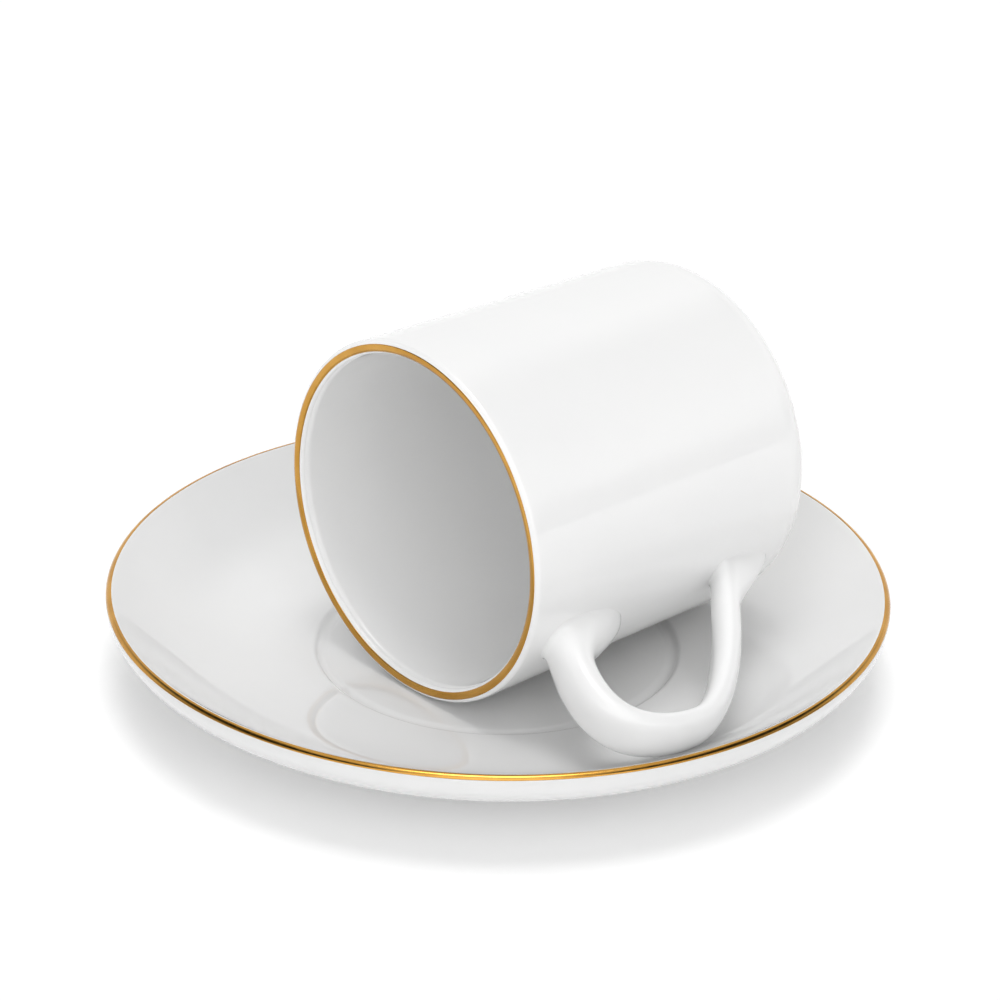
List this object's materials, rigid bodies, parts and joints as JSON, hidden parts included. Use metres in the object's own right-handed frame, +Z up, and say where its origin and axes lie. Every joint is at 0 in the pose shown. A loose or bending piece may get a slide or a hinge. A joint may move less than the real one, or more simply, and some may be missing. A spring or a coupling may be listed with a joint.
{
  "type": "teacup and saucer",
  "caption": "Straight-sided glazed porcelain teacup with a gilt lip and a strap handle, lying on its side on a matching gilt-rimmed saucer.",
  "frame": {"origin": "centre of the saucer's foot, on the table it stands on", "axes": "+Z up along the saucer's axis; the cup lies with its mouth towards -X and -Y and its base towards +X and +Y"},
  "size_m": [0.15, 0.15, 0.0761],
  "materials": {
    "cup_glaze": "clear glaze over white porcelain, glossy",
    "saucer_glaze": "clear glaze over white porcelain, glossy",
    "biscuit": "unglazed fired porcelain, matt",
    "gilt": "fired bright gold, polished"
  },
  "bodies": {
    "saucer": {"saucer_body": "saucer_glaze", "saucer_foot_ring": "biscuit", "saucer_gilt_line": "gilt"},
    "cup": {"cup_body": "cup_glaze", "cup_foot_ring": "biscuit", "cup_gilt_line": "gilt", "handle_strap": "cup_glaze", "handle_joint_upper": "cup_glaze", "handle_joint_lower": "cup_glaze"}
  },
  "joints": [
    {"name": "cup_lift", "type": "slide", "parent": "saucer", "child": "cup", "axis": [0, 0, 1], "range_m": [0, 0.1]}
  ]
}
